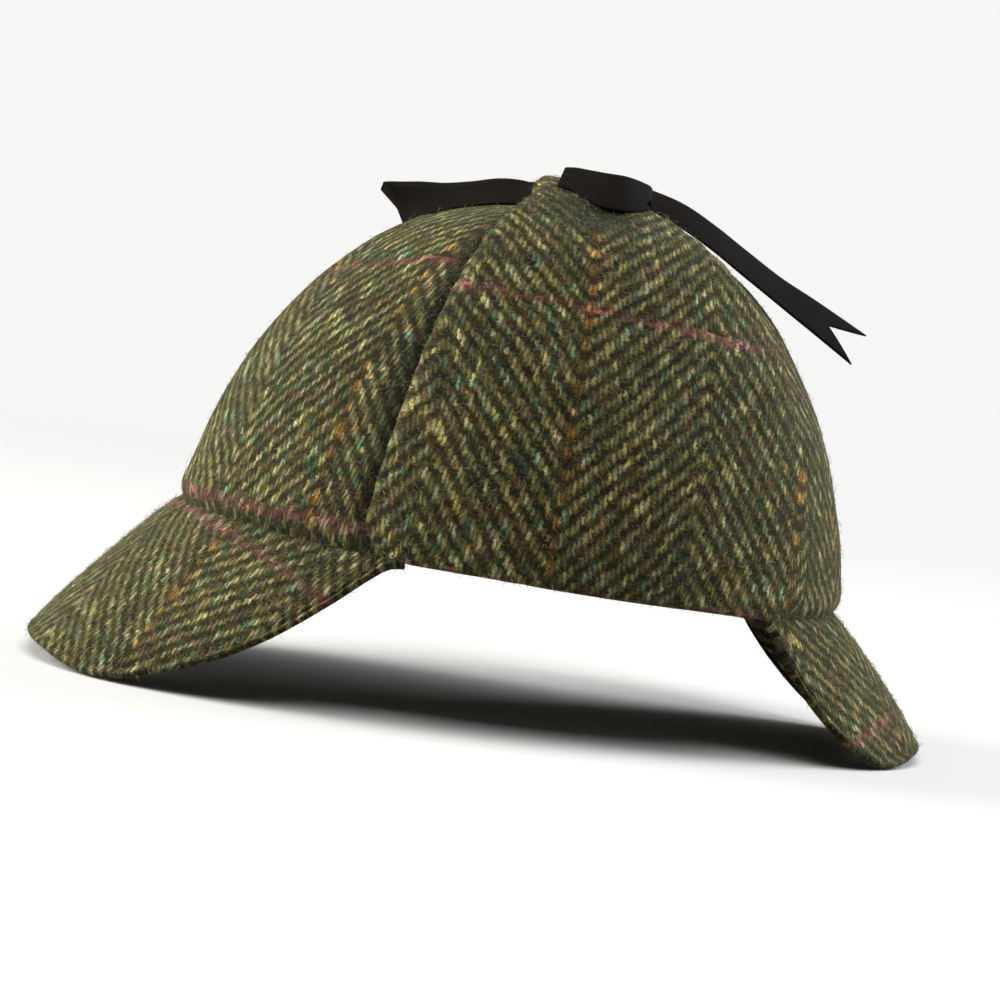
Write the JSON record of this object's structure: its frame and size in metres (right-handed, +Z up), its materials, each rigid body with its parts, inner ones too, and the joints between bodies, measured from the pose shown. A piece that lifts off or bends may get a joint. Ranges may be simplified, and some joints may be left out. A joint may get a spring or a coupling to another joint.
{
  "type": "deerstalker hat",
  "caption": "Herringbone tweed hat with a domed crown, a stiff peak front and back, and ear flaps folded up and tied over the top with a black ribbon bow.",
  "frame": {"origin": "middle of the hat's box, on the surface it stands on", "axes": "+Z up; the front peak points to -Y; the wearer's left is +X"},
  "size_m": [0.1794, 0.2832, 0.1714],
  "materials": {
    "tweed": "woven wool, matt",
    "ribbon": "fine ribbed ribbon, matt"
  },
  "bodies": {
    "root": {"crown_panel_front_left": "tweed", "crown_panel_back_left": "tweed", "crown_panel_back_right": "tweed", "crown_panel_front_right": "tweed", "ear_flap_left": "tweed", "ear_flap_right": "tweed", "front_peak": "tweed", "back_peak": "tweed", "ribbon_loop_front": "ribbon", "ribbon_loop_rear": "ribbon", "ribbon_tail_rear": "ribbon", "ribbon_tail_far": "ribbon", "ribbon_knot": "ribbon"}
  },
  "joints": []
}
